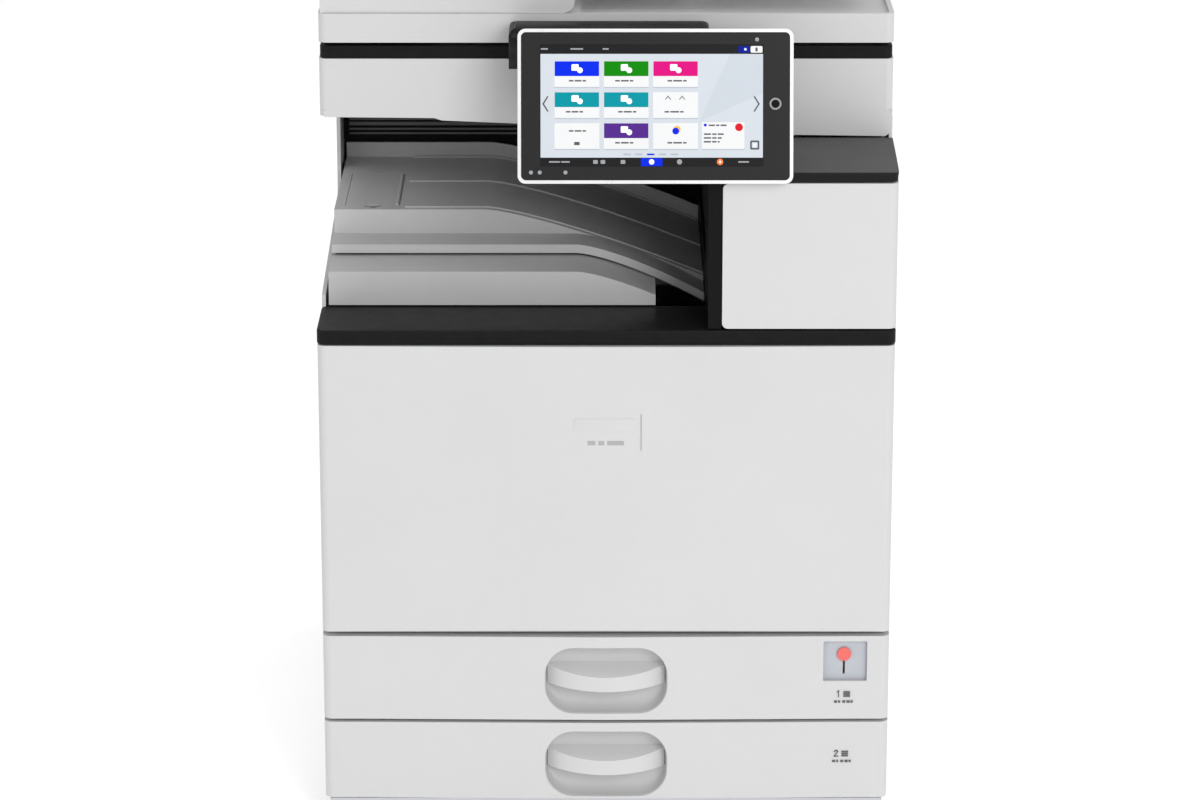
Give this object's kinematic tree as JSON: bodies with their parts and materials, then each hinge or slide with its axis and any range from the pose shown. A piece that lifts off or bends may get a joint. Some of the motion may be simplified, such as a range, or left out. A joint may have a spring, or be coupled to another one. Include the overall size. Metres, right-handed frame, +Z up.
{
  "type": "photocopier",
  "caption": "Floor-standing office photocopier with a sheet feeder, a tilting touch panel, a stepped output bay and paper drawers.",
  "frame": {"origin": "centre of the machine's plan on the floor under its feet", "axes": "+X to the machine's right as the user faces it, +Y to its rear, +Z up"},
  "size_m": [0.587, 0.684, 0.913],
  "materials": {
    "white_shell": "fine satin texture",
    "light_plastic": "fine satin texture",
    "tray_grey": "grained satin",
    "mid_grey": "grained satin",
    "dark_plastic": "grained matt",
    "black_plastic": "grained matt",
    "silver": "satin silver",
    "screen_glass": "gloss black",
    "glass": "clear",
    "steel": "brushed",
    "frame_steel": "zinc grey",
    "rubber": "matt",
    "drum_green": "glossy coating",
    "fuser_brown": "satin",
    "board_green": "solder mask",
    "foam_white": "smooth white sheet over foam",
    "red": "gloss",
    "toner_black": "satin"
  },
  "bodies": {
    "machine": {"base_frame": "frame_steel", "feet": "rubber", "front_frame": "light_plastic", "rear_frame": "frame_steel", "left_cover": "white_shell", "rear_cover": "white_shell", "right_cover": "white_shell", "ledge": "dark_plastic", "bay_liner": "black_plastic", "output_tray": "tray_grey", "exit_cover": "white_shell", "shoulder": "mid_grey", "scanner_case": "white_shell", "scanner_rim": "dark_plastic", "platen_glass": "glass", "scan_rails": "steel", "panel_arm": "dark_plastic", "power_inlet": "black_plastic", "laser_unit": "mid_grey", "imaging_case": "mid_grey", "fuser_case": "dark_plastic", "drive_motor": "steel", "circuit_boards": "board_green", "feeder_hinges": "frame_steel"},
    "tray_stopper": {"tray_stopper": "tray_grey"},
    "front_cover": {"front_cover": "white_shell"},
    "drawer_1": {"drawer_1_front": "white_shell", "drawer_1_box": "light_plastic"},
    "drawer_1_lift": {"drawer_1_lift_plate": "steel"},
    "drawer_1_front_fence": {"drawer_1_front_fence": "mid_grey"},
    "drawer_1_rear_fence": {"drawer_1_rear_fence": "mid_grey"},
    "drawer_1_end_fence": {"drawer_1_end_fence": "mid_grey"},
    "gauge_flag": {"gauge_flag": "red"},
    "drawer_2": {"drawer_2_front": "white_shell", "drawer_2_box": "light_plastic"},
    "drawer_2_lift": {"drawer_2_lift_plate": "steel"},
    "drawer_2_front_fence": {"drawer_2_front_fence": "mid_grey"},
    "drawer_2_rear_fence": {"drawer_2_rear_fence": "mid_grey"},
    "drawer_2_end_fence": {"drawer_2_end_fence": "mid_grey"},
    "duplex_door": {"duplex_door": "white_shell"},
    "transfer_roller": {"transfer_roller": "rubber"},
    "bypass_tray": {"bypass_tray": "light_plastic"},
    "toner_bottle": {"toner_bottle": "toner_black"},
    "drum": {"drum": "drum_green"},
    "fuser_roller": {"fuser_roller": "fuser_brown"},
    "pressure_roller": {"pressure_roller": "rubber"},
    "exit_roller": {"exit_roller": "rubber"},
    "carriage_1": {"carriage_1": "dark_plastic"},
    "carriage_2": {"carriage_2": "dark_plastic"},
    "panel": {"panel_case": "silver", "panel_glass": "screen_glass"},
    "panel_button": {"panel_button": "mid_grey"},
    "feeder": {"feeder_base": "white_shell", "feeder_pad": "foam_white", "feeder_head": "white_shell"},
    "feed_cover": {"feed_cover": "white_shell"},
    "document_tray": {"document_tray": "white_shell"},
    "guide_front": {"guide_front": "light_plastic"},
    "guide_rear": {"guide_rear": "light_plastic"},
    "pickup_roller": {"pickup_roller": "rubber"}
  },
  "joints": [
    {"name": "front_cover_hinge", "type": "hinge", "parent": "machine", "child": "front_cover", "pos_m": [0, -0.318, 0.2195], "axis": [1, 0, 0], "range_deg": [0, 90]},
    {"name": "drawer_1_slide", "type": "slide", "parent": "machine", "child": "drawer_1", "axis": [0, -1, 0], "range_m": [0, 0.38]},
    {"name": "drawer_1_plate_lift", "type": "hinge", "parent": "drawer_1", "child": "drawer_1_lift", "pos_m": [-0.214, -0.117, 0.1286], "axis": [0, -1, 0], "range_deg": [0, 7]},
    {"name": "drawer_1_front_fence_slide", "type": "slide", "parent": "drawer_1", "child": "drawer_1_front_fence", "axis": [0, 1, 0], "range_m": [0, 0.09]},
    {"name": "drawer_1_rear_fence_slide", "type": "slide", "parent": "drawer_1", "child": "drawer_1_rear_fence", "axis": [0, -1, 0], "range_m": [0, 0.09]},
    {"name": "drawer_1_end_fence_slide", "type": "slide", "parent": "drawer_1", "child": "drawer_1_end_fence", "axis": [1, 0, 0], "range_m": [0, 0.13]},
    {"name": "gauge_slide", "type": "slide", "parent": "drawer_1", "child": "gauge_flag", "axis": [0, 0, -1], "range_m": [0, 0.02]},
    {"name": "drawer_2_slide", "type": "slide", "parent": "machine", "child": "drawer_2", "axis": [0, -1, 0], "range_m": [0, 0.38]},
    {"name": "drawer_2_plate_lift", "type": "hinge", "parent": "drawer_2", "child": "drawer_2_lift", "pos_m": [-0.214, -0.117, 0.0446], "axis": [0, -1, 0], "range_deg": [0, 7]},
    {"name": "drawer_2_front_fence_slide", "type": "slide", "parent": "drawer_2", "child": "drawer_2_front_fence", "axis": [0, 1, 0], "range_m": [0, 0.09]},
    {"name": "drawer_2_rear_fence_slide", "type": "slide", "parent": "drawer_2", "child": "drawer_2_rear_fence", "axis": [0, -1, 0], "range_m": [0, 0.09]},
    {"name": "drawer_2_end_fence_slide", "type": "slide", "parent": "drawer_2", "child": "drawer_2_end_fence", "axis": [1, 0, 0], "range_m": [0, 0.13]},
    {"name": "duplex_door_hinge", "type": "hinge", "parent": "machine", "child": "duplex_door", "pos_m": [0.289, 0.252, 0.45], "axis": [0, 0, 1], "range_deg": [0, 90]},
    {"name": "bypass_tray_hinge", "type": "hinge", "parent": "duplex_door", "child": "bypass_tray", "pos_m": [0.2895, -0.007, 0.34], "axis": [0, 1, 0], "range_deg": [0, 68]},
    {"name": "transfer_roller_spin", "type": "hinge", "parent": "duplex_door", "child": "transfer_roller", "pos_m": [0.219, -0.08, 0.372], "axis": [0, 1, 0], "continuous": true},
    {"name": "toner_bottle_spin", "type": "hinge", "parent": "machine", "child": "toner_bottle", "pos_m": [-0.12, -0.072, 0.432], "axis": [0, 1, 0], "continuous": true},
    {"name": "drum_spin", "type": "hinge", "parent": "machine", "child": "drum", "pos_m": [0.178, -0.09, 0.372], "axis": [0, 1, 0], "continuous": true},
    {"name": "fuser_roller_spin", "type": "hinge", "parent": "machine", "child": "fuser_roller", "pos_m": [0.182, -0.088, 0.484], "axis": [0, 1, 0], "continuous": true},
    {"name": "pressure_roller_spin", "type": "hinge", "parent": "machine", "child": "pressure_roller", "pos_m": [0.211, -0.088, 0.484], "axis": [0, 1, 0], "continuous": true},
    {"name": "exit_roller_spin", "type": "hinge", "parent": "machine", "child": "exit_roller", "pos_m": [0.121, -0.042, 0.588], "axis": [0, 1, 0], "continuous": true},
    {"name": "carriage_1_slide", "type": "slide", "parent": "machine", "child": "carriage_1", "axis": [1, 0, 0], "range_m": [0, 0.458]},
    {"name": "carriage_2_slide", "type": "slide", "parent": "machine", "child": "carriage_2", "axis": [1, 0, 0], "range_m": [0, 0.229]},
    {"name": "panel_tilt_hinge", "type": "hinge", "parent": "machine", "child": "panel", "pos_m": [0.0489, -0.28553, 0.83146], "axis": [-1, 0, 0], "range_deg": [0, 60]},
    {"name": "panel_button_press", "type": "slide", "parent": "panel", "child": "panel_button", "axis": [0, 0.974, -0.2267], "range_m": [0, 0.0008], "stiffness_N_per_m": 900},
    {"name": "feeder_lift_hinge", "type": "hinge", "parent": "machine", "child": "feeder", "pos_m": [0, 0.3335, 0.822], "axis": [-1, 0, 0], "range_deg": [0, 60]},
    {"name": "feed_cover_hinge", "type": "hinge", "parent": "feeder", "child": "feed_cover", "pos_m": [-0.287, 0.013, 0.87], "axis": [0, -1, 0], "range_deg": [0, 75]},
    {"name": "document_tray_hinge", "type": "hinge", "parent": "feeder", "child": "document_tray", "pos_m": [-0.044, 0.026, 0.869], "axis": [0, -1, 0], "range_deg": [0, 35]},
    {"name": "guide_front_slide", "type": "slide", "parent": "document_tray", "child": "guide_front", "axis": [0, 1, 0], "range_m": [0, 0.1]},
    {"name": "guide_rear_slide", "type": "slide", "parent": "document_tray", "child": "guide_rear", "axis": [0, -1, 0], "range_m": [0, 0.1]},
    {"name": "pickup_roller_spin", "type": "hinge", "parent": "feeder", "child": "pickup_roller", "pos_m": [-0.084, 0.007, 0.876], "axis": [0, 1, 0], "continuous": true},
    {"name": "tray_stopper_hinge", "type": "hinge", "parent": "machine", "child": "tray_stopper", "pos_m": [-0.2205, -0.028, 0.6111], "axis": [0, 1, 0], "range_deg": [0, 95]}
  ],
  "couplings": [
    {"joint": "drawer_1_rear_fence_slide", "follows": "drawer_1_front_fence_slide", "ratio": 1},
    {"joint": "drawer_2_rear_fence_slide", "follows": "drawer_2_front_fence_slide", "ratio": 1},
    {"joint": "gauge_slide", "follows": "drawer_1_plate_lift", "m_per_rad": 0.1636},
    {"joint": "carriage_2_slide", "follows": "carriage_1_slide", "ratio": 0.5},
    {"joint": "guide_rear_slide", "follows": "guide_front_slide", "ratio": 1},
    {"joint": "transfer_roller_spin", "follows": "drum_spin", "ratio": -3.1579},
    {"joint": "fuser_roller_spin", "follows": "drum_spin", "ratio": 2.1429},
    {"joint": "pressure_roller_spin", "follows": "drum_spin", "ratio": -2.1429},
    {"joint": "exit_roller_spin", "follows": "drum_spin", "ratio": -2.7273}
  ]
}
